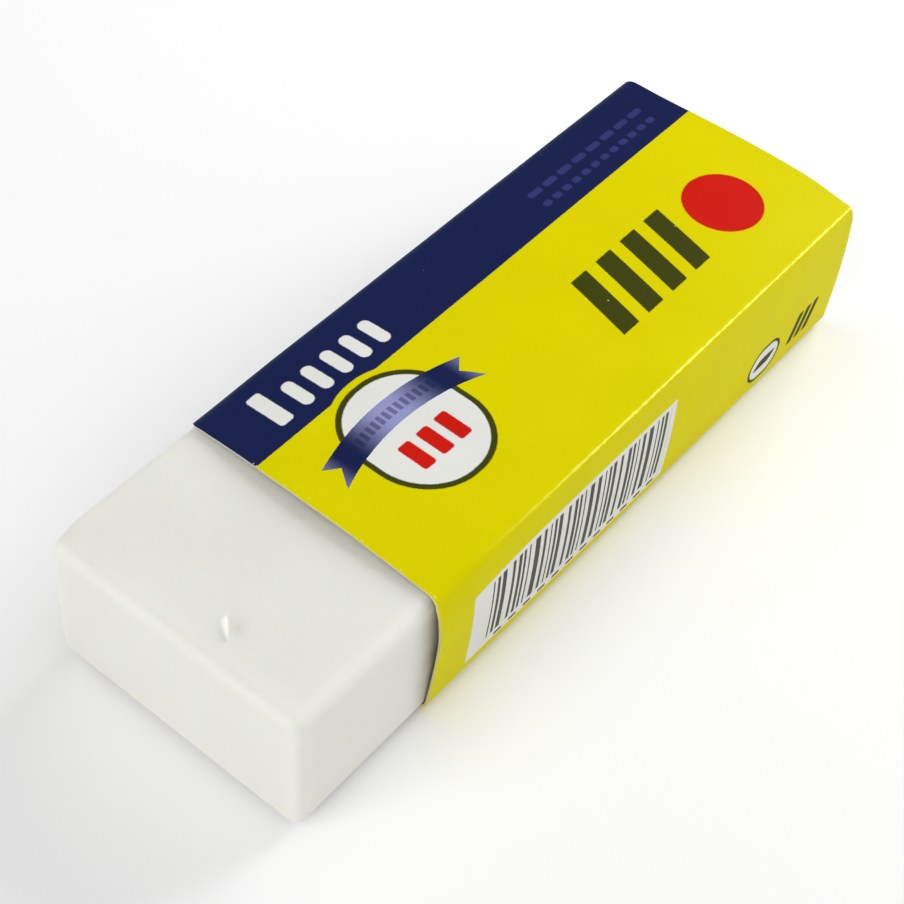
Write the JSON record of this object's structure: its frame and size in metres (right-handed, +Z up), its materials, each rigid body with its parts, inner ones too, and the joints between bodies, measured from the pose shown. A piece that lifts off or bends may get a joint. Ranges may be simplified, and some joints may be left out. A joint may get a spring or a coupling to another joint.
{
  "type": "rubber eraser",
  "caption": "White vinyl block eraser in a folded card sleeve that slides along it, with one bare end for rubbing out pencil.",
  "frame": {"origin": "centre of the bounding box in X and Y, on the surface that the sleeve's flat underside rests on", "axes": "+X along the block from its bare end to its covered end, +Y across the block to the side with the navy band, +Z up out of the printed top panel"},
  "size_m": [0.065, 0.0234, 0.0137],
  "materials": {
    "white_vinyl": "matt, slightly waxy white vinyl with a chipped top edge",
    "printed_card": "smooth coated card printed yellow and navy, with white cut edges"
  },
  "bodies": {
    "block": {"eraser_block": "white_vinyl"},
    "sleeve": {"card_sleeve": "printed_card"}
  },
  "joints": [
    {"name": "sleeve_slide", "type": "slide", "parent": "block", "child": "sleeve", "axis": [1, 0, 0], "range_m": [-0.01375, 0.015]}
  ]
}
